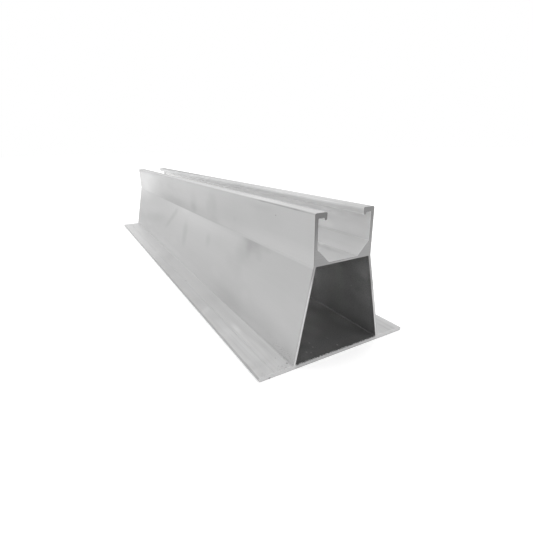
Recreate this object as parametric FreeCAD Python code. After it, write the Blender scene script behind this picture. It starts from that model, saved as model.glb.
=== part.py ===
"""Solar mini rail: one extruded aluminium section, sawn to length.

X runs across the rail, Y along it and Z up. The origin is at the middle of the
underside. All sizes are in millimetres.
"""

import FreeCAD
import Part
import math
import os

# The whole rail
rail_length = 420.0
rail_height = 80.0

# Base plate, whose two flanges are screwed down through a marking groove
flange_width = 20.0
base_thickness = 2.2
flange_edge_radius = 0.9
groove_inset = 9.0
groove_width = 0.8
groove_depth = 0.2

# Hollow body: two webs that lean in from the base to a waist just below the channel's floor
foot_width = 60.0
web_thickness = 1.45
foot_fillet = 0.5
waist_drop = 1.0
waist_fillet = 2.0
hollow_corner_radius = 0.5

# Channel that takes the clamp nuts, stiffened by a gusset in each lower corner
channel_depth = 22.4
channel_floor_thickness = 1.2
upright_thickness = 1.95
gusset_width = 7.3
gusset_height = 7.3
gusset_fillet = 0.4
shoulder_radius = 0.9

# Lips that turn in over the channel, with a hanging bead along each side of the slot
slot_width = 23.0
lip_width = 7.1
lip_thickness = 2.6
lip_edge_radius = 0.7
lip_root_fillet = 0.6
bead_width = 1.5
bead_depth = 1.2
bead_root_fillet = 0.5

# A rounded corner uses up at most this share of the shorter side next to it
largest_corner_share = 0.48

# Half widths, which the two sides of the section share
half_foot = foot_width / 2
half_base = half_foot + flange_width
half_slot = slot_width / 2
half_channel = half_slot + lip_width
half_inside = half_channel - upright_thickness

# Levels above the underside
channel_roof_level = rail_height - lip_thickness
bead_level = channel_roof_level - bead_depth
channel_floor_level = channel_roof_level - channel_depth
hollow_roof_level = channel_floor_level - channel_floor_thickness
waist_level = channel_floor_level - waist_drop


def web_outer_half_width(level):
    """Half the distance between the outer faces of the webs at a level."""
    rise = (level - base_thickness) / (waist_level - base_thickness)
    return half_foot + (half_channel - half_foot) * rise


def web_inner_half_width(level):
    """Half the width of the hollow at a level, a web's thickness in from outside."""
    lean = math.atan2(half_foot - half_channel, waist_level - base_thickness)
    return web_outer_half_width(level) - web_thickness / math.cos(lean)


def mirrored(right_side):
    """A closed outline from its right side, given from the bottom up."""
    left_side = [(-x, z, radius) for x, z, radius in reversed(right_side)]
    return right_side + left_side


def rounded_wire(outline):
    """Closed wire in the plane of the end face, its corners rounded by tangent arcs."""
    points = [FreeCAD.Vector(x, 0, z) for x, z, radius in outline]
    runs = []
    arcs = []
    for index, (x, z, radius) in enumerate(outline):
        point = points[index]
        back = points[index - 1] - point
        ahead = points[(index + 1) % len(points)] - point
        half_angle = back.getAngle(ahead) / 2
        longest_cut = largest_corner_share * min(back.Length, ahead.Length)
        cut = min(radius / math.tan(half_angle), longest_cut)
        back.normalize()
        ahead.normalize()
        start = point + back * cut
        end = point + ahead * cut
        runs.append((start, end))
        if cut > 0:
            inward = (back + ahead).normalize()
            fitted_radius = cut * math.tan(half_angle)
            middle = point + inward * (fitted_radius / math.sin(half_angle) - fitted_radius)
            arcs.append(Part.Arc(start, middle, end).toShape())
        else:
            arcs.append(None)
    edges = []
    for index, (start, end) in enumerate(runs):
        if arcs[index]:
            edges.append(arcs[index])
        next_start = runs[(index + 1) % len(runs)][0]
        edges.append(Part.LineSegment(end, next_start).toShape())
    return Part.Wire(edges)


def flange():
    """Corners of the right flange, from the underside in to the web."""
    groove_middle = half_base - groove_inset
    return [
        (half_base, 0, flange_edge_radius),
        (half_base, base_thickness, flange_edge_radius),
        (groove_middle + groove_width / 2, base_thickness, 0),
        (groove_middle, base_thickness - groove_depth, 0),
        (groove_middle - groove_width / 2, base_thickness, 0),
    ]


def web_and_shoulder():
    """Corners of the right side's outer face, from the foot of the web to the top."""
    return [
        (half_foot, base_thickness, foot_fillet),
        (half_channel, waist_level, waist_fillet),
        (half_channel, rail_height, shoulder_radius),
    ]


def lip():
    """Corners of the right lip, from the slot's edge round the bead to the upright."""
    return [
        (half_slot, rail_height, lip_edge_radius),
        (half_slot, bead_level, bead_width / 2),
        (half_slot + bead_width, bead_level, bead_width / 2),
        (half_slot + bead_width, channel_roof_level, bead_root_fillet),
        (half_inside, channel_roof_level, lip_root_fillet),
    ]


def gusset():
    """Corners of the right gusset, from the upright down to the channel's floor."""
    return [
        (half_inside, channel_floor_level + gusset_height, gusset_fillet),
        (half_inside - gusset_width, channel_floor_level, gusset_fillet),
    ]


def hollow():
    """Corners of the right side of the hollow, from the base plate up to its roof."""
    return [
        (web_inner_half_width(base_thickness), base_thickness, hollow_corner_radius),
        (web_inner_half_width(hollow_roof_level), hollow_roof_level, hollow_corner_radius),
    ]


def build_rail():
    """The whole rail, pushed out along Y from its end face."""
    outside = rounded_wire(mirrored(flange() + web_and_shoulder() + lip() + gusset()))
    inside = rounded_wire(mirrored(hollow()))
    end_face = Part.Face(outside).cut(Part.Face(inside)).Faces[0]
    end_face.translate(FreeCAD.Vector(0, -rail_length / 2, 0))
    return end_face.extrude(FreeCAD.Vector(0, rail_length, 0))


os.makedirs("parts", exist_ok=True)
build_rail().exportStep("parts/mini_rail.step")
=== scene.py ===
"""Looks of the solar mini rail: mill-finish aluminium with sawn ends, on a plain white table."""

import bpy
import math
from collections import namedtuple
from mathutils import Matrix, Vector


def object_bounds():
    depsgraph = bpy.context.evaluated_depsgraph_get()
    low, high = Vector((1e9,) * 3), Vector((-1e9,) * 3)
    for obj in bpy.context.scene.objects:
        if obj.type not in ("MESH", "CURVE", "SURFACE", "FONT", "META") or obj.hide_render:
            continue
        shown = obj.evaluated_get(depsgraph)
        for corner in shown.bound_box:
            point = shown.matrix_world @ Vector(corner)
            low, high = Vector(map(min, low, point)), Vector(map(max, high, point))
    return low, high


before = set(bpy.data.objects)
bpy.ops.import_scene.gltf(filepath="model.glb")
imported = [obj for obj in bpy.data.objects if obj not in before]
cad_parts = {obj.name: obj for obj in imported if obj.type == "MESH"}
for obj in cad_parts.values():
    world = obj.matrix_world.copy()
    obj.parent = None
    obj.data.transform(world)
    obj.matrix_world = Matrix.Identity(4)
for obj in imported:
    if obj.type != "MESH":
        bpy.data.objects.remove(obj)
cad_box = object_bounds()
cad_low, cad_high = cad_box

RAIL_NODE = "mini_rail"
MILLIMETRES_PER_METRE = 1000.0

# Camera, fitted to the edges of the rail: degrees, metres, pixels and, for its sensor, millimetres
CAMERA_YAW = 29.22
CAMERA_PITCH = 19.214
CAMERA_ROLL = 1.004
CAMERA_BESIDE_RAIL = 0.11525
CAMERA_BEFORE_RAIL = 0.12642
CAMERA_HEIGHT = 0.10976
CAMERA_NEAREST = 0.01
FRAME_PIXELS = 533
FOCAL_PIXELS = 348.14
SENSOR_WIDTH = 36.0

# White table and the soft ceiling lamp over it, in metres
TABLE_HALF_WIDTH = 6.0
TABLE_GAP = 0.0002
TABLE_TONE = 0.92
TABLE_GLOW = 0.2
CEILING_HEIGHT = 1.3
CEILING_WIDTH = 4.0
CEILING_STRENGTH = 0.4

# Sawn edges, which are broken a little: metres and radians
SMALLEST_GAP = 0.000001
EDGE_WIDTH = 0.00012
EDGE_SEGMENTS = 2
SHARP_ANGLE = math.radians(60)

# Section of the rail, in millimetres: levels above the underside
RAIL_HEIGHT = (cad_high.z - cad_low.z) * MILLIMETRES_PER_METRE
BASE_TOP = 2.2
WAIST_LEVEL = 54.0
CHANNEL_FLOOR = 55.0
GUSSET_TOP = 62.3
LIP_ROOF = 77.4
BEAD_BOTTOM = 76.2

# Distances from the middle of the rail, across and along it
HALF_LENGTH = (cad_high.y - cad_low.y) / 2 * MILLIMETRES_PER_METRE
HALF_BASE = (cad_high.x - cad_low.x) / 2 * MILLIMETRES_PER_METRE
GROOVE_MIDDLE = 41.0
FOOT_SIDE = 30.0
WEB_MIDDLE_AT_BASE = 29.3
WEB_MIDDLE_AT_WAIST = 17.9
UPRIGHT_SIDE = 18.6
UPRIGHT_MIDDLE = 17.6
BEAD_MIDDLE = 12.3
SLOT_SIDE = 11.5
FLOOR_SIDE = 9.35

# How far the webs lean in for each millimetre up
WEB_LEAN = (WEB_MIDDLE_AT_BASE - WEB_MIDDLE_AT_WAIST) / (WAIST_LEVEL - BASE_TOP)

# The little that keeps the channel's mask off the bottom of the beads
BEAD_CLEARANCE = 0.1

# Where a face of the section begins and where it is reached in full: levels
BASE_FACE = (BASE_TOP + 0.5, BASE_TOP + 0.1)
UPRIGHT_FOOT = (WAIST_LEVEL - 1.5, WAIST_LEVEL - 0.6)
LIP_TOP = (RAIL_HEIGHT - 0.5, RAIL_HEIGHT - 0.2)
BEAD_ROOT = (BEAD_BOTTOM + 0.9, BEAD_BOTTOM + 0.3)
GUSSET_FOOT = (CHANNEL_FLOOR + 0.1, CHANNEL_FLOOR + 0.5)
WALL_FOOT = (GUSSET_TOP - 0.3, GUSSET_TOP + 0.1)
UNDER_LIP = (LIP_ROOF - 8.0, LIP_ROOF - 3.0)
HOLLOW_RISE = (BASE_TOP, WAIST_LEVEL - 12.0)
FOOT_LINE_LEVEL = (BASE_TOP + 0.8, BASE_TOP + 0.1)

# The same, across the rail
SLOT_FACE = (SLOT_SIDE + 0.4, SLOT_SIDE + 0.2)
BEAD_BACK = (BEAD_MIDDLE + 0.9, BEAD_MIDDLE + 0.7)
SIDE_FACES = (UPRIGHT_SIDE - 1.1, UPRIGHT_SIDE - 0.1)
FLANGE_EDGE = (HALF_BASE - 0.9, HALF_BASE - 0.3)

# The same, along the rail from whichever end is nearer
CUT_FACE = (0.09, 0.06)
BURR_HIGHLIGHT_REACH = (0.6, 0.3)
NICK_REACH = (0.9, 0.5)
MOUTH_REACH = (2.5, 0.5)
WALL_LINE_START = (2.0, 24.0)
CHANNEL_DEPTH = (0.0, 32.0)
HOLLOW_DEPTH = (0.0, 120.0)

# The same, along the rail from the near end
NEAR_LINES = (110.0, 30.0)
NEAR_GROOVE = (110.0, 50.0)
FOOT_LINE_FADE = (230.0, 0.0)

# The same on the sawn ends: levels, then places in from the middle of a web, then across
CUT_GUSSET = (RAIL_HEIGHT, WAIST_LEVEL + 4.0)
CUT_WAIST = (WAIST_LEVEL + 0.1, WAIST_LEVEL - 0.3)
CUT_FOOT = (WAIST_LEVEL - 3.0, WAIST_LEVEL - 13.0)
CUT_FOOT_DROP_ON_RIGHT = 12.0
CUT_INNER_RISE = (10.0, 22.0)
CUT_BASE = (BASE_TOP + 0.2, BASE_TOP - 0.1)
CUT_BASE_TOP = (BASE_TOP - 0.45, BASE_TOP - 0.2)
CUT_OUTER_EDGE = (-0.25, -0.50)
CUT_INNER_EDGE = (0.45, 0.65)
CUT_UNDER_HOLLOW = (WEB_MIDDLE_AT_BASE, WEB_MIDDLE_AT_BASE - 2.0)

# Stripes along the rail: from where to where each is full, and how wide it fades, in millimetres
GROOVE_INNER_FLANK = (GROOVE_MIDDLE - 0.35, GROOVE_MIDDLE - 0.1, 0.15)
GROOVE_OUTER_FLANK = (GROOVE_MIDDLE + 0.1, GROOVE_MIDDLE + 0.35, 0.15)
FLOOR_LINE_LEVEL = (CHANNEL_FLOOR, CHANNEL_FLOOR + 0.2, 0.4)
FLOOR_LINE_PLACE = (FLOOR_SIDE - 0.3, FLOOR_SIDE + 0.3, 0.4)
WALL_LINE_LEVEL = (GUSSET_TOP - 0.2, GUSSET_TOP + 0.2, 0.8)
FOOT_LINE_PLACE = (FOOT_SIDE - 0.2, FOOT_SIDE + 0.3, 0.5)

# Share of the light that each surface gives back, from the mouth to well inside where it changes.
# Beyond the skin's own tone these are painted light and shade: lighter lip tops, slot faces, beads,
# flanges and channel, lighter still deep in the channel, and a darker upright
SKIN_TONE = 0.405
UPRIGHT_TONE = 0.383
LIP_TONE = 0.45
SLOT_FACE_TONES = (0.53, 0.62)
FLANGE_TONE = 0.55
CHANNEL_ROOF_TONES = (0.64, 0.95)
BEAD_TONES = (0.64, 0.82)
CHANNEL_WALL_TONES = (0.59, 0.75)
CHANNEL_FLOOR_TONES = (0.55, 0.68)
GUSSET_TONES = (0.48, 0.53)
# The hollow is painted shade near its mouths, darker on its floor than its roof, and painted light deep
# inside
HOLLOW_ROOF_TONE = 0.18
HOLLOW_FLOOR_TONE = 0.128
HOLLOW_INSIDE_TONE = 0.95

# The same for the sawn ends, on the left and on the right where they differ: painted shade that
# darkens them from the feet of the webs up to the lips
CUT_LIP_TONES = (0.136, 0.19)
CUT_GUSSET_TONES = (0.24, 0.26)
CUT_WAIST_TONE = 0.28
CUT_FOOT_TONES = (0.50, 0.48)
CUT_BASE_TONE = 0.39
CUT_FLANGE_TONE = 0.46

# Changes of tone, as shares of it: a painted highlight on the burrs off the webs and painted shade on
# them, painted shade on the groove's inner flank far off and near, and painted light on its outer one
BURR_HIGHLIGHT_CHANGES = (0.12, -0.05)
NICK_CHANGE = 4.0
MOUTH_CHANGE = -0.14
FLANGE_EDGE_CHANGE = -0.36
GROOVE_INNER_CHANGES = (-0.15, -0.19)
GROOVE_OUTER_CHANGE = 0.07
# Painted shade along the gussets, the feet of the webs and the sawn webs' edges; the sawn base's ragged
# edge
FLOOR_LINE_CHANGE = -0.10
WALL_LINE_CHANGE = -0.12
FOOT_LINE_CHANGE = -0.25
CUT_OUTER_CHANGE = -0.32
CUT_INNER_CHANGE = -0.45
CUT_RAGGED_CHANGE = -0.7

# Patterns of noise: their size across, along and up in millimetres, their seed and their detail
Pattern = namedtuple("Pattern", "size seed detail")
FINE_LINES = Pattern((0.45, 160.0, 0.45), 3.1, 3.0)
BROAD_LINES = Pattern((2.6, 240.0, 2.6), 7.7, 2.0)
CLOUDS = Pattern((11.0, 26.0, 9.0), 5.3, 3.0)
GRAIN = Pattern((0.7, 0.9, 0.7), 9.1, 2.0)
SMEARS = Pattern((26.0, 48.0, 20.0), 6.4, 2.0)
SAW_LINES = Pattern((14.0, 1.0, 0.35), 2.2, 3.0)
NOISE_ROUGHNESS = 0.55
SEED_STEPS = (1.0, 1.7, 2.3)

# Where grain is coarse enough to be ragged metal, and to be dirt
RAGGED_GRAIN = (0.0, 0.25)
DIRTY_GRAIN = (0.05, 0.35)

# How much a pattern changes the tone: broad lines elsewhere and on the near part of the flanges, fine
# lines off the flanges and on them, clouds and grain outside the hollow and in it, smears, saw lines
BROAD_LINE_DEPTHS = (0.02, 0.14)
FINE_LINE_DEPTHS = (0.03, 0.07)
CLOUD_DEPTHS = (0.03, 0.12)
GRAIN_DEPTHS = (0.02, 0.40)
SMEAR_DEPTH = 0.14
SAW_LINE_DEPTH = 0.14

# Surface: how metallic and how rough it is, how much rougher clouds and lines make it, how strongly
# the lines stand out, and how high, in metres
SKIN_METAL = 0.3
SKIN_ROUGHNESS = 0.45
CUT_ROUGHNESS = 0.55
CLOUD_ROUGHNESS = 0.05
LINE_ROUGHNESS = 0.06
LINE_RELIEF = 0.5
LINE_HEIGHT = 0.00002

# A soft mark painted on the metal: painted light, shade, sheen or reflection for most marks, a speck or
# dirt for some. Where its middle is (across, from the near end, level) and how far it reaches each way,
# in millimetres; how its length is turned, in degrees; and the change of tone
Mark = namedtuple("Mark", "middle reach turn change")

# How a mark fades in from its reach, as a share of it, and how far the clouds move its outline,
# in millimetres and at most as a share of its reach
MARK_FADE = (1.0, 0.15)
OUTLINE_WOBBLE = 2.5
LARGEST_WOBBLE = 0.25

UPRIGHT_PAINTED_LIGHT_AND_MARKS = [
    # Painted sheen at the far end
    Mark((-18.6, 440, 60), (8, 125, 90), 0, 0.33),
    Mark((-18.6, 378, 59), (8, 24, 10), 0, 0.06),
    Mark((-18.6, 375, 79), (8, 60, 3), 0, 0.05),
    Mark((-18.6, 372, 72), (8, 92, 36), 0, 0.27),
    Mark((-18.6, 362, 77), (8, 34, 12), 0, 0.05),
    Mark((-18.6, 322, 77), (8, 75, 22), 0, 0.13),
    # Painted reflections: light and dark strips near the top and over the waist
    Mark((-18.6, 290, 79), (8, 60, 3), 0, 0.07),
    Mark((-18.6, 278, 70), (8, 22, 7), 0, 0.04),
    Mark((-18.6, 250, 76), (8, 110, 9), 0, 0.07),
    Mark((-18.6, 180, 78), (8, 90, 22), 0, 0.07),
    Mark((-18.6, 54, 78), (8, 30, 6), 0, -0.08),
    Mark((-18.6, 252, 55), (8, 75, 10), 0, -0.13),
    Mark((-18.6, 190, 55), (8, 130, 11), 0, -0.09),
    Mark((-18.6, 15, 56), (8, 120, 9), 0, 0.09),
    # Darker patches, and a lighter one between them
    Mark((-18.6, 179, 58), (8, 12, 7), 0, -0.08),
    Mark((-18.6, 177, 63), (8, 14, 15), 15, -0.07),
    Mark((-18.6, 141, 64), (8, 8, 9), 0, -0.07),
    Mark((-18.6, 131, 56), (8, 13, 5), 0, -0.05),
    Mark((-18.6, 130, 68), (8, 13, 13), 20, -0.10),
    Mark((-18.6, 108, 56), (8, 16, 5), 0, 0.04),
    Mark((-18.6, 95, 64), (8, 50, 12), 0, -0.05),
    Mark((-18.6, 90, 62.5), (8, 4, 3), 0, -0.04),
    Mark((-18.6, 45, 71), (8, 28, 12), 0, -0.04),
    # A speck, and a line of painted shade along the shoulder
    Mark((-18.6, 35.2, 73.6), (1, 0.9, 0.6), 0, -0.45),
    Mark((-18.9, 34, 79.7), (1.2, 56, 0.8), 0, -0.46),
    Mark((-18.9, 16, 79.5), (1.2, 5, 0.8), 0, -0.12),
    Mark((-18.9, 50, 79.4), (1.2, 7, 0.9), 0, -0.16),
]
LIP_PAINTED_LIGHT = [
    # Painted light and shade on the top of the left lip
    Mark((-15, 430, 80), (9, 205, 6), 0, -0.47),
    Mark((-15, 130, 80), (9, 80, 6), 0, 0.04),
    Mark((-17.2, 70, 80), (2.2, 100, 2), 0, 0.12),
    Mark((-15, 58, 80), (9, 34, 6), 0, 0.13),
    Mark((-15, 48, 80), (9, 30, 6), 0, 0.06),
    # Painted light and shade on the top of the right lip
    Mark((15, 400, 80), (5, 240, 2), 0, -0.44),
    Mark((15.5, 300, 80), (5, 120, 2), 0, -0.10),
    Mark((17.2, 200, 80), (1.6, 230, 2), 0, -0.09),
    Mark((12.4, 160, 80), (1.6, 300, 2), 0, -0.11),
    Mark((15, 75, 80), (9, 75, 6), 0, 0.09),
    Mark((15, 0, 80), (9, 34, 6), 0, -0.10),
    # Painted light on the right side of the slot
    Mark((11.5, 320, 78), (1.2, 230, 4), 0, 0.34),
    Mark((11.6, 130, 79.3), (1.0, 240, 1.5), 0, 0.30),
    Mark((11.8, 130, 76.6), (1.2, 90, 1.2), 0, 0.15),
]
WEB_PAINTED_LIGHT_AND_MARKS = [
    # Painted sheen under the waist, most of all at the far end
    Mark((-19, 420, 53), (9, 110, 20), 0, 0.26),
    Mark((-19, 405, 53.5), (9, 20, 5), 0, 0.10),
    Mark((-19, 205, 52), (9, 20, 5), 0, 0.05),
    Mark((-19, 180, 53), (9, 130, 20), 0, 0.13),
    # Painted light in a strip along the foot
    Mark((-30, 388, 3.5), (4, 65, 5), 0, 0.16),
    Mark((-30, 250, 2), (9, 420, 22), 0, 0.17),
    Mark((-30, 230, 4), (9, 200, 8), 0, 0.17),
    Mark((-29.8, 30, 4), (9, 62, 4), 0, 0.08),
    # Painted light in patches over the foot
    Mark((-26.4, 228, 18), (9, 20, 6), 0, 0.05),
    Mark((-26.5, 113, 18), (9, 14, 6), 0, 0.04),
    Mark((-26.7, 62, 17), (9, 9, 6), 0, 0.04),
    Mark((-26, 32, 20), (9, 42, 10), 0, 0.05),
    Mark((-28.8, 17, 8), (9, 10, 5), 0, 0.06),
    Mark((-27, 8, 14), (9, 24, 8), 0, 0.04),
    # Slanting darker streaks
    Mark((-24, 330, 25), (9, 88, 9), -8, -0.09),
    Mark((-23, 257, 31), (9, 5, 22), 57, -0.09),
    Mark((-21, 241, 41), (9, 6, 21), 57, -0.12),
    Mark((-24, 197, 32), (9, 10, 20), 5, -0.11),
    Mark((-23, 90, 32), (9, 13, 9), 20, -0.05),
    Mark((-21, 76, 42), (9, 13, 20), 40, -0.06),
    # Darker patches
    Mark((-27, 412, 14), (9, 50, 18), 0, -0.10),
    Mark((-27.7, 371, 12.5), (9, 24, 5), 0, -0.06),
    Mark((-26, 340, 20), (9, 90, 18), 0, -0.05),
    Mark((-24, 280, 30), (9, 65, 15), 0, -0.07),
    Mark((-19, 276, 52.5), (9, 22, 4), 0, -0.04),
    Mark((-20.2, 232, 47), (9, 8, 5), 0, -0.06),
    Mark((-22.5, 137, 38), (9, 8, 9), 0, -0.08),
    Mark((-21, 116, 42), (9, 34, 12), 0, -0.03),
    Mark((-19, 90, 54), (9, 130, 5), 0, -0.05),
    Mark((-29, 86, 8), (9, 34, 10), 0, -0.08),
    Mark((-23.8, 77, 30), (9, 12, 8), 0, -0.05),
    Mark((-22, 68, 41), (9, 19, 10), 0, -0.04),
    Mark((-20.3, 67, 46.5), (9, 6, 7), 0, -0.06),
    Mark((-19, 63, 53), (9, 17, 10), 0, -0.17),
    Mark((-20.2, 52, 46), (9, 6, 5), 0, -0.06),
    Mark((-19, 45, 53), (9, 9, 6), 0, -0.06),
    Mark((-20, 20, 46), (9, 90, 26), 0, -0.06),
]
FLANGE_PAINTED_LIGHT_AND_MARKS = [
    # Painted sheen at the far end
    Mark((-35, 385, 2), (6, 60, 5), 0, 0.05),
    Mark((-48, 340, 2), (26, 150, 5), 0, 0.10),
    # Slanting lighter and darker streaks
    Mark((-47, 240, 2), (8, 42, 5), -29, 0.04),
    Mark((-33, 226, 2), (8, 40, 5), -29, -0.04),
    Mark((-45.8, 85, 2), (3.4, 9, 5), -38, 0.09),
    # Painted reflections: light streaks towards the near end
    Mark((-37.8, 54, 2), (2.4, 12, 5), 0, 0.08),
    Mark((-38.6, 50, 2), (2.0, 10, 5), 0, 0.07),
    Mark((-46, 50, 2), (7, 9, 5), 0, 0.07),
    Mark((-32, 45, 2), (4, 65, 5), 0, 0.09),
    Mark((-47.4, 42, 2), (2.5, 9, 5), 0, 0.05),
    Mark((-38.2, 40, 2), (2.8, 26, 5), 0, 0.07),
    Mark((-39.5, 38, 2), (2.4, 30, 5), 0, 0.07),
    Mark((-43, 34, 2), (1.3, 26, 5), 0, 0.06),
    Mark((-36.2, 27, 2), (1.4, 16, 5), 0, 0.09),
    Mark((-48.4, 27, 2), (2, 20, 5), 0, 0.07),
    Mark((-38, 18, 2), (6, 9, 5), 0, 0.04),
    Mark((-47.3, 13.5, 2), (1.8, 5, 5), 0, 0.07),
    Mark((-34, 8, 2), (3, 9, 5), 0, 0.06),
    # Darker patches, the last of them painted shade on the right flange
    Mark((-45, 160, 2), (9, 110, 5), 0, -0.05),
    Mark((-40, 103, 2), (18, 16, 5), 0, -0.045),
    Mark((-50, 100, 2), (9, 320, 5), 0, -0.05),
    Mark((-40.5, 89, 2), (3.5, 14, 5), 0, -0.05),
    Mark((-43.5, 73, 2), (5, 10, 5), 0, -0.05),
    Mark((-33.2, 26, 2), (2.2, 10, 5), 0, -0.06),
    Mark((-46, 11, 2), (14, 5, 5), 0, -0.06),
    Mark((-44, 7, 2), (3, 4.5, 5), 0, -0.06),
    Mark((-45, 2.5, 2), (8, 5, 5), 0, -0.06),
    Mark((40, 0, 2), (16, 60, 5), 0, -0.23),
    # Dark specks
    Mark((-40.8, 148, 2), (1.8, 3.0, 5), 0, -0.12),
    Mark((-33.9, 11, 2), (0.45, 0.7, 1), 0, -0.45),
    Mark((-31.2, 3.9, 2), (0.7, 1.0, 1), 0, -0.75),
]
DIRT_MARKS = [
    Mark((-29.4, 4, 4.5), (4, 30, 6), 0, -0.40),
    Mark((-35.5, 1.5, 2), (4.5, 4.0, 2), 0, -0.55),
    Mark((-46, 1.5, 2), (3, 2.5, 2), 0, -0.35),
]
CUT_PAINTED_LIGHT_AND_DIRT = [
    # Dirt low on the left flange
    Mark((-43.9, 0, 0.4), (0.9, 1, 0.6), 0, -0.70),
    # Painted highlights and shade in strips across the channel's floor, painted shade up the left
    # upright and a painted highlight along the base
    Mark((0, 0, 54.65), (11, 1, 0.25), 0, -0.12),
    Mark((0, 0, 54.1), (14, 1, 0.45), 0, 0.25),
    Mark((-18.3, 0, 66), (0.7, 1, 15), 0, -0.14),
    Mark((-8, 0, 2.0), (22, 1, 0.4), 0, 0.20),
]
HOLLOW_PAINTED_LIGHT_AND_SPECKS = [
    # Painted light on the right web, with a patch of painted shade near the mouth
    Mark((24, 57, 24), (10, 26, 30), 0, 0.72),
    Mark((27, 52, 5), (6, 14, 9), 0, 0.16),
    Mark((22, 32, 30), (6, 19, 22), 0, 0.35),
    Mark((20.5, 30, 39), (6, 16, 4), 0, 0.16),
    Mark((26, 24, 11), (6, 28, 15), 0, 0.32),
    Mark((22.3, 10.5, 30), (5, 6, 5), 0, -0.16),
    Mark((27.2, 9, 7), (4, 12, 12), 0, 0.10),
    Mark((23.4, 8, 27), (5, 14, 14), 0, 0.18),
    Mark((20.6, 5, 41), (5, 5, 4), 0, 0.26),
    Mark((19.5, 4, 45), (5, 13, 6), -20, 0.20),
    # Painted light on the base and in the corner where the right web stands on it, and painted shade at
    # the mouth
    Mark((28.3, 60, 2.4), (1.2, 66, 1.2), 0, 0.12),
    Mark((6, 44, 2), (18, 26, 4), 0, 0.25),
    Mark((1, 25, 2), (7, 11, 2), 0, 0.24),
    Mark((25, 24, 2), (8, 17, 2), 0, 0.22),
    Mark((-7, 20, 2), (10, 11, 4), 0, 0.20),
    Mark((-14, 14, 2), (13, 16, 8), 0, 0.20),
    Mark((-19, 8, 2), (7, 8, 4), 0, 0.14),
    Mark((-22, 4, 2), (9, 9, 4), 0, 0.17),
    Mark((8, 1, 2), (24, 6, 2.5), 0, -0.10),
    # Bright specks
    Mark((23, 16.7, 30), (1.5, 0.9, 0.7), 0, 1.1),
    Mark((-9.5, 13.8, 2.2), (0.6, 1.0, 1), 0, 1.2),
    Mark((2.6, 12.7, 2.2), (0.5, 0.9, 1), 0, 0.9),
    Mark((-10.4, 9.4, 2.2), (0.6, 0.9, 1), 0, 1.5),
    Mark((-16.4, 7.0, 2.2), (0.5, 0.9, 1), 0, 1.4),
    Mark((-14.4, 5.6, 2.2), (0.5, 0.7, 1), 0, 1.3),
    Mark((2.9, 4.1, 2.2), (0.7, 0.9, 1), 0, 1.8),
]
CHANNEL_PAINTED_LIGHT = [
    # Painted shadow on the floor
    Mark((5.6, 24, 55), (3.2, 24, 3), 0, -0.16),
    Mark((2.5, 20, 55), (3.5, 11, 3), 0, -0.05),
    # Painted light and shade on the right gusset
    Mark((10.4, 22, 56), (3, 26, 3), 0, 0.07),
    Mark((15.8, 16, 61.2), (3, 34, 3), 0, -0.03),
    # Painted light and shade inside the right upright
    Mark((16.6, 290, 70), (4, 190, 40), 0, 0.24),
    Mark((16.6, 115, 73.5), (4, 85, 5), 0, 0.09),
    Mark((16.6, 60, 75.5), (4, 34, 2.2), 0, 0.12),
    Mark((16.6, 37, 65), (4, 11, 4.5), 0, 0.14),
    Mark((16.6, 28, 77), (4, 16, 5), 0, -0.09),
    Mark((16.6, 23, 73), (4, 9, 2.5), 0, -0.08),
    Mark((16.6, 20, 64), (4, 26, 8), 0, 0.07),
    Mark((16.6, 11, 67), (4, 9, 5), 0, 0.06),
]


def grey(tone):
    """A neutral colour of one tone."""
    return (tone, tone, tone, 1.0)


class Finish:
    """The nodes of one material, added a formula at a time."""

    def __init__(self, name):
        self.material = bpy.data.materials.new(name)
        self.material.use_nodes = True
        self.tree = self.material.node_tree
        self.shader = self.tree.nodes["Principled BSDF"]

    def join(self, value, socket):
        """Feeds a socket with a plain value or with another node's output."""
        if isinstance(value, bpy.types.NodeSocket):
            self.tree.links.new(value, socket)
        else:
            socket.default_value = value

    def math(self, operation, *values):
        """One sum on numbers."""
        node = self.tree.nodes.new("ShaderNodeMath")
        node.operation = operation
        for value, socket in zip(values, node.inputs):
            self.join(value, socket)
        return node.outputs[0]

    def product(self, *values):
        """All values multiplied, which is also how masks are combined."""
        result = values[0]
        for value in values[1:]:
            result = self.math("MULTIPLY", result, value)
        return result

    def total(self, *values):
        """All values added up."""
        result = values[0]
        for value in values[1:]:
            result = self.math("ADD", result, value)
        return result

    def opposite(self, mask):
        """1 where a mask is 0 and 0 where it is 1."""
        return self.math("SUBTRACT", 1.0, mask)

    def step(self, value, start, end):
        """0 at start, 1 at end and smooth between, whichever of the two is larger."""
        node = self.tree.nodes.new("ShaderNodeMapRange")
        node.interpolation_type = "SMOOTHSTEP"
        self.join(value, node.inputs["Value"])
        node.inputs["From Min"].default_value = start
        node.inputs["From Max"].default_value = end
        return node.outputs["Result"]

    def band(self, value, low, high, edge):
        """1 between low and high, falling to 0 over an edge's width outside them."""
        return self.product(self.step(value, low - edge, low), self.step(value, high + edge, high))

    def blend(self, share, first, second):
        """First where share is 0 and second where it is 1."""
        node = self.tree.nodes.new("ShaderNodeMix")
        self.join(share, node.inputs[0])
        self.join(first, node.inputs[2])
        self.join(second, node.inputs[3])
        return node.outputs[0]

    def vector(self, operation, *values):
        """One sum on vectors."""
        node = self.tree.nodes.new("ShaderNodeVectorMath")
        node.operation = operation
        for value, socket in zip(values, node.inputs):
            self.join(value, socket)
        return node.outputs["Value" if operation == "LENGTH" else "Vector"]

    def noise(self, place, pattern):
        """A pattern of cloudy noise, between -1 and 1."""
        scaled = self.vector("DIVIDE", place, pattern.size)
        moved = self.vector("ADD", scaled, [pattern.seed * step for step in SEED_STEPS])
        node = self.tree.nodes.new("ShaderNodeTexNoise")
        self.join(moved, node.inputs["Vector"])
        node.inputs["Scale"].default_value = 1.0
        node.inputs["Detail"].default_value = pattern.detail
        node.inputs["Roughness"].default_value = NOISE_ROUGHNESS
        return self.math("MULTIPLY_ADD", node.outputs[0], 2.0, -1.0)


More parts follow.
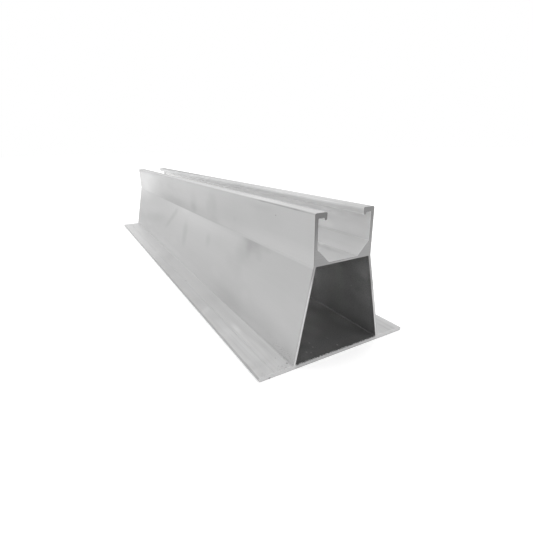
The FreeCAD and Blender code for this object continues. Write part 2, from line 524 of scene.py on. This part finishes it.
class RailFinish(Finish):
    """Mill-finish aluminium, as the die, the saw and handling leave it, with light and shade painted on.
    """

    def __init__(self):
        super().__init__("mill_aluminium")
        self.find_place()
        self.find_faces()
        self.draw_patterns()
        self.set_colour()
        self.set_surface()

    def find_place(self):
        """Where a point lies on the rail, in millimetres."""
        coordinates = self.tree.nodes.new("ShaderNodeTexCoord")
        self.place = self.vector("MULTIPLY", coordinates.outputs["Object"], (MILLIMETRES_PER_METRE,) * 3)
        parts = self.tree.nodes.new("ShaderNodeSeparateXYZ")
        self.join(self.place, parts.inputs[0])
        self.across = self.math("ABSOLUTE", parts.outputs["X"])
        self.on_right = self.math("GREATER_THAN", parts.outputs["X"], 0.0)
        self.level = parts.outputs["Z"]
        self.from_near_end = self.math("ADD", parts.outputs["Y"], HALF_LENGTH)
        self.from_any_end = self.math("SUBTRACT", HALF_LENGTH, self.math("ABSOLUTE", parts.outputs["Y"]))

    def find_faces(self):
        """Masks of the sawn ends, the hollow, the channel and the faces outside them."""
        middle_at_underside = WEB_MIDDLE_AT_BASE + WEB_LEAN * BASE_TOP
        web_middle = self.math("MULTIPLY_ADD", self.level, -WEB_LEAN, middle_at_underside)
        self.into_web = self.math("SUBTRACT", web_middle, self.across)
        between_webs = self.math("GREATER_THAN", self.into_web, 0.0)
        between_uprights = self.math("LESS_THAN", self.across, UPRIGHT_MIDDLE)
        over_hollow = self.math("GREATER_THAN", self.level, (WAIST_LEVEL + CHANNEL_FLOOR) / 2)
        below_beads = self.math("LESS_THAN", self.level, BEAD_BOTTOM - BEAD_CLEARANCE)
        beside_slot = self.math("GREATER_THAN", self.across, BEAD_MIDDLE)
        below_lip_tops = self.math("LESS_THAN", self.level, (RAIL_HEIGHT + LIP_ROOF) / 2)
        under_lips = self.product(beside_slot, below_lip_tops)
        above_underside = self.math("GREATER_THAN", self.level, BASE_TOP / 2)
        self.cut = self.step(self.from_any_end, *CUT_FACE)
        # A thin strip by the sawn ends, with a painted highlight, and on the webs a little painted shade
        self.burr_highlight = self.step(self.from_any_end, *BURR_HIGHLIGHT_REACH)
        self.hollow = self.product(between_webs, above_underside, self.opposite(over_hollow))
        below_lips = self.math("MAXIMUM", below_beads, under_lips)
        self.channel = self.product(between_uprights, over_hollow, below_lips)
        self.outside = self.opposite(self.math("MAXIMUM", self.hollow, self.channel))
        self.flange = self.product(self.outside, self.step(self.level, *BASE_FACE))
        above_waist = self.step(self.level, *UPRIGHT_FOOT)
        self.upright = self.product(self.outside, above_waist)
        self.web = self.product(self.outside, self.opposite(above_waist), self.opposite(self.flange))

    def draw_patterns(self):
        """Lines left by the die, cloudy oxide, smears, and lines and nicks left by the saw."""
        self.fine_lines = self.noise(self.place, FINE_LINES)
        self.broad_lines = self.noise(self.place, BROAD_LINES)
        self.clouds = self.noise(self.place, CLOUDS)
        self.grain = self.noise(self.place, GRAIN)
        self.smears = self.noise(self.place, SMEARS)
        self.saw_lines = self.noise(self.place, SAW_LINES)
        self.ragged = self.step(self.grain, *RAGGED_GRAIN)
        hollow_floor = self.product(self.hollow, self.step(self.level, *BASE_FACE))
        self.nicks = self.product(hollow_floor, self.ragged, self.step(self.from_any_end, *NICK_REACH))

    def mark_strength(self, mark, axis):
        """1 in the middle of a mark and 0 past its reach, with an uneven outline."""
        across, from_near_end, level = mark.middle
        offset = self.vector("SUBTRACT", self.place, (across, from_near_end - HALF_LENGTH, level))
        if mark.turn:
            node = self.tree.nodes.new("ShaderNodeVectorRotate")
            node.rotation_type = axis
            self.join(offset, node.inputs["Vector"])
            node.inputs["Angle"].default_value = math.radians(-mark.turn)
            offset = node.outputs[0]
        away = self.vector("LENGTH", self.vector("DIVIDE", offset, mark.reach))
        middle_reach = sorted(mark.reach)[1]
        wobble = min(OUTLINE_WOBBLE / middle_reach, LARGEST_WOBBLE)
        return self.step(self.math("MULTIPLY_ADD", self.clouds, wobble, away), *MARK_FADE)

    def all_marks(self, marks, mask, axis="X_AXIS"):
        """The change of tone that a list of marks brings to one kind of face."""
        change = 0.0
        for mark in marks:
            change = self.math("MULTIPLY_ADD", self.mark_strength(mark, axis), mark.change, change)
        return self.product(change, mask)

    def inward(self, tones):
        """A tone that changes from the mouth of the channel to well inside it."""
        return self.blend(self.step(self.from_any_end, *CHANNEL_DEPTH), *tones)

    def sided(self, tones):
        """A tone for the left half of the rail and another for the right half."""
        return self.blend(self.on_right, *tones)

    def channel_tone(self):
        """Tone of the channel's floor, gussets and walls and the walls under the lips, with painted
        light, most deep inside.
        """
        gusset = self.step(self.level, *GUSSET_FOOT)
        tone = self.blend(gusset, self.inward(CHANNEL_FLOOR_TONES), self.inward(GUSSET_TONES))
        under_lip = self.step(self.level, *UNDER_LIP)
        wall_tone = self.inward(CHANNEL_WALL_TONES)
        wall_tone = self.blend(under_lip, wall_tone, self.inward(CHANNEL_ROOF_TONES))
        return self.blend(self.step(self.level, *WALL_FOOT), tone, wall_tone)

    def hollow_tone(self):
        """Tone of the hollow: painted shade near the mouths, and painted light that keeps it pale deep
        inside.
        """
        rise = self.step(self.level, *HOLLOW_RISE)
        mouth_tone = self.blend(rise, HOLLOW_FLOOR_TONE, HOLLOW_ROOF_TONE)
        return self.blend(self.step(self.from_any_end, *HOLLOW_DEPTH), mouth_tone, HOLLOW_INSIDE_TONE)

    def skin_tone(self):
        """Tone of the skin that the die leaves, with light and shade painted on each kind of face."""
        lip_top = self.product(self.upright, self.step(self.level, *LIP_TOP))
        slot_face = self.product(self.upright, self.step(self.across, *SLOT_FACE))
        bead = self.product(self.upright, self.step(self.level, *BEAD_ROOT))
        bead = self.product(bead, self.step(self.across, *BEAD_BACK))
        slot_face = self.product(slot_face, self.opposite(lip_top))
        channel_tone = self.channel_tone()
        hollow_tone = self.hollow_tone()
        tone = self.blend(self.flange, SKIN_TONE, FLANGE_TONE)
        tone = self.blend(self.upright, tone, UPRIGHT_TONE)
        tone = self.blend(lip_top, tone, LIP_TONE)
        tone = self.blend(slot_face, tone, self.inward(SLOT_FACE_TONES))
        tone = self.blend(bead, tone, self.inward(BEAD_TONES))
        tone = self.blend(self.channel, tone, channel_tone)
        return self.blend(self.hollow, tone, hollow_tone)

    def cut_web_tone(self):
        """Tone of the sawn webs, with painted shade along both of their edges."""
        level = self.math("MULTIPLY_ADD", self.on_right, CUT_FOOT_DROP_ON_RIGHT, self.level)
        tone = self.blend(self.step(level, *CUT_FOOT), CUT_WAIST_TONE, self.sided(CUT_FOOT_TONES))
        outer_edge = self.step(self.into_web, *CUT_OUTER_EDGE)
        inner_edge = self.step(self.into_web, *CUT_INNER_EDGE)
        inner_edge = self.product(inner_edge, self.step(self.level, *CUT_INNER_RISE))
        outer_change = self.product(outer_edge, CUT_OUTER_CHANGE)
        inner_change = self.product(inner_edge, CUT_INNER_CHANGE)
        return self.product(tone, self.total(1.0, outer_change, inner_change))

    def cut_base_tone(self):
        """Tone of the sawn base, painted as part of the ends' shade, with a ragged upper edge under the
        hollow.
        """
        under_hollow = self.step(self.across, *CUT_UNDER_HOLLOW)
        tone = self.blend(under_hollow, CUT_FLANGE_TONE, CUT_BASE_TONE)
        upper_edge = self.product(under_hollow, self.step(self.level, *CUT_BASE_TOP))
        upper_edge = self.product(upper_edge, self.opposite(self.ragged))
        return self.product(tone, self.math("MULTIPLY_ADD", upper_edge, CUT_RAGGED_CHANGE, 1.0))

    def cut_tone(self):
        """Tone of the sawn ends, painted shade: dark at the lips, light at the feet of the webs."""
        gusset = self.step(self.level, *CUT_GUSSET)
        above = self.blend(gusset, self.sided(CUT_LIP_TONES), self.sided(CUT_GUSSET_TONES))
        web_tone = self.cut_web_tone()
        base_tone = self.cut_base_tone()
        tone = self.blend(self.step(self.level, *CUT_WAIST), above, web_tone)
        return self.blend(self.step(self.level, *CUT_BASE), tone, base_tone)

    def groove_change(self):
        """Painted shade on the groove's inner flank and painted light on its outer one."""
        inner_flank = self.band(self.across, *GROOVE_INNER_FLANK)
        outer_flank = self.band(self.across, *GROOVE_OUTER_FLANK)
        near = self.step(self.from_near_end, *NEAR_GROOVE)
        change = self.product(inner_flank, self.blend(near, *GROOVE_INNER_CHANGES))
        change = self.math("MULTIPLY_ADD", outer_flank, GROOVE_OUTER_CHANGE, change)
        return self.product(self.flange, change)

    def channel_change(self):
        """Painted shade along the lower and the upper edge of the gussets."""
        floor_line = self.band(self.level, *FLOOR_LINE_LEVEL)
        floor_line = self.product(floor_line, self.band(self.across, *FLOOR_LINE_PLACE))
        wall_line = self.band(self.level, *WALL_LINE_LEVEL)
        wall_line = self.product(wall_line, self.step(self.from_any_end, *WALL_LINE_START))
        floor_change = self.product(floor_line, FLOOR_LINE_CHANGE)
        wall_change = self.product(wall_line, WALL_LINE_CHANGE)
        return self.product(self.channel, self.total(floor_change, wall_change))

    def edge_change(self):
        """Painted light and shade: groove, channel, feet of the webs; and darker flange edges and
        mouths.
        """
        groove_change = self.groove_change()
        channel_change = self.channel_change()
        mouth = self.product(self.hollow, self.step(self.from_any_end, *MOUTH_REACH))
        flange_edge = self.product(self.flange, self.step(self.across, *FLANGE_EDGE))
        foot_line = self.step(self.level, *FOOT_LINE_LEVEL)
        foot_line = self.product(foot_line, self.band(self.across, *FOOT_LINE_PLACE))
        fading = self.step(self.from_near_end, *FOOT_LINE_FADE)
        foot_change = self.product(foot_line, fading, FOOT_LINE_CHANGE)
        flange_change = self.product(flange_edge, FLANGE_EDGE_CHANGE)
        mouth_change = self.product(mouth, MOUTH_CHANGE)
        return self.total(flange_change, mouth_change, groove_change, foot_change, channel_change)

    def wear_and_painted_light_change(self):
        """Soft marks of painted light, shade and sheen, specks, dirt, painted burr highlights and nicks.
        """
        return self.total(
            self.all_marks(UPRIGHT_PAINTED_LIGHT_AND_MARKS, self.upright),
            self.all_marks(LIP_PAINTED_LIGHT, self.upright),
            self.all_marks(WEB_PAINTED_LIGHT_AND_MARKS, self.web),
            self.all_marks(FLANGE_PAINTED_LIGHT_AND_MARKS, self.flange, "Z_AXIS"),
            self.all_marks(HOLLOW_PAINTED_LIGHT_AND_SPECKS, self.hollow),
            self.all_marks(CHANNEL_PAINTED_LIGHT, self.channel),
            self.all_marks(DIRT_MARKS, self.step(self.grain, *DIRTY_GRAIN)),
            self.product(self.burr_highlight, self.blend(self.web, *BURR_HIGHLIGHT_CHANGES)),
            self.product(self.nicks, NICK_CHANGE))

    def pattern_change(self):
        """Lines, clouds and grain all over, and smears on the right side."""
        near_flange = self.product(self.step(self.from_near_end, *NEAR_LINES), self.flange)
        broad_lines = self.product(self.broad_lines, self.blend(near_flange, *BROAD_LINE_DEPTHS))
        fine_lines = self.product(self.fine_lines, self.blend(self.flange, *FINE_LINE_DEPTHS))
        clouds = self.product(self.clouds, self.blend(self.hollow, *CLOUD_DEPTHS))
        grain = self.product(self.grain, self.blend(self.hollow, *GRAIN_DEPTHS))
        right_side = self.product(self.outside, self.step(self.across, *SIDE_FACES), self.on_right)
        smears = self.product(self.smears, right_side, SMEAR_DEPTH)
        return self.total(broad_lines, fine_lines, clouds, grain, smears)

    def set_colour(self):
        """Puts the tones and their changes together into the base colour."""
        wear_and_painted_light_change = self.wear_and_painted_light_change()
        pattern_change = self.pattern_change()
        change = self.total(1.0, wear_and_painted_light_change, self.edge_change(), pattern_change)
        skin = self.product(self.skin_tone(), change)
        saw = self.math("MULTIPLY_ADD", self.saw_lines, SAW_LINE_DEPTH, 1.0)
        saw = self.total(saw, self.all_marks(CUT_PAINTED_LIGHT_AND_DIRT, 1.0))
        tone = self.blend(self.cut, skin, self.product(self.cut_tone(), saw))
        colour = self.tree.nodes.new("ShaderNodeCombineColor")
        for socket in colour.inputs:
            self.join(tone, socket)
        self.join(colour.outputs[0], self.shader.inputs["Base Color"])

    def set_surface(self):
        """Metal, roughness and the height of the lines."""
        self.shader.inputs["Metallic"].default_value = SKIN_METAL
        rough = self.math("MULTIPLY_ADD", self.clouds, CLOUD_ROUGHNESS, SKIN_ROUGHNESS)
        rough = self.math("MULTIPLY_ADD", self.fine_lines, LINE_ROUGHNESS, rough)
        self.join(self.blend(self.cut, rough, CUT_ROUGHNESS), self.shader.inputs["Roughness"])
        height = self.blend(self.cut, self.fine_lines, self.saw_lines)
        bump = self.tree.nodes.new("ShaderNodeBump")
        bump.inputs["Strength"].default_value = LINE_RELIEF
        bump.inputs["Distance"].default_value = LINE_HEIGHT
        self.join(height, bump.inputs["Height"])
        self.join(bump.outputs[0], self.shader.inputs["Normal"])


def add_camera():
    """Puts the camera where the photograph was taken from."""
    data = bpy.data.cameras.new("camera")
    data.sensor_width = SENSOR_WIDTH
    data.lens = FOCAL_PIXELS / FRAME_PIXELS * SENSOR_WIDTH
    data.clip_start = CAMERA_NEAREST
    camera = bpy.data.objects.new("camera", data)
    turn = Matrix.Rotation(math.radians(-CAMERA_YAW), 4, "Z")
    tilt = Matrix.Rotation(math.radians(90 - CAMERA_PITCH), 4, "X")
    roll = Matrix.Rotation(math.radians(-CAMERA_ROLL), 4, "Z")
    place = Vector((-CAMERA_BESIDE_RAIL, cad_low.y - CAMERA_BEFORE_RAIL, CAMERA_HEIGHT))
    camera.matrix_world = Matrix.Translation(place) @ turn @ tilt @ roll
    bpy.context.scene.collection.objects.link(camera)
    bpy.context.scene.camera = camera


def add_table():
    """A wide white table just under the rail."""
    half = TABLE_HALF_WIDTH
    corners = [(-half, -half), (half, -half), (half, half), (-half, half)]
    mesh = bpy.data.meshes.new("table")
    mesh.from_pydata([(x, y, cad_low.z - TABLE_GAP) for x, y in corners], [], [(0, 1, 2, 3)])
    table = bpy.data.objects.new("table", mesh)
    bpy.context.scene.collection.objects.link(table)
    finish = Finish("white_table")
    finish.shader.inputs["Base Color"].default_value = grey(TABLE_TONE)
    finish.shader.inputs["Roughness"].default_value = 1.0
    finish.shader.inputs["Specular IOR Level"].default_value = 0.0
    finish.shader.inputs["Emission Color"].default_value = grey(1.0)
    finish.shader.inputs["Emission Strength"].default_value = TABLE_GLOW
    mesh.materials.append(finish.material)


def add_light():
    """Even white light from all round, and a little more from a broad ceiling lamp."""
    world = bpy.data.worlds.new("white_room")
    world.use_nodes = True
    sky = world.node_tree.nodes["Background"]
    sky.inputs["Color"].default_value = grey(1.0)
    sky.inputs["Strength"].default_value = 1.0
    bpy.context.scene.world = world
    data = bpy.data.lights.new("ceiling", "AREA")
    data.shape = "SQUARE"
    data.size = CEILING_WIDTH
    data.energy = CEILING_STRENGTH * math.pi * CEILING_WIDTH ** 2
    lamp = bpy.data.objects.new("ceiling", data)
    lamp.location = (0.0, 0.0, CEILING_HEIGHT)
    bpy.context.scene.collection.objects.link(lamp)


def dress_rail():
    """Gives the rail its finish and breaks the sawn edges a little."""
    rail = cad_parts[RAIL_NODE]
    rail.data.materials.clear()
    rail.data.materials.append(RailFinish().material)
    rail.modifiers.new("joined_faces", "WELD").merge_threshold = SMALLEST_GAP
    edges = rail.modifiers.new("broken_edges", "BEVEL")
    edges.width = EDGE_WIDTH
    edges.segments = EDGE_SEGMENTS
    edges.angle_limit = SHARP_ANGLE
    edges.miter_outer = "MITER_SHARP"
    edges.harden_normals = True


add_camera()
add_table()
add_light()
dress_rail()
bpy.context.scene.view_settings.view_transform = "Standard"
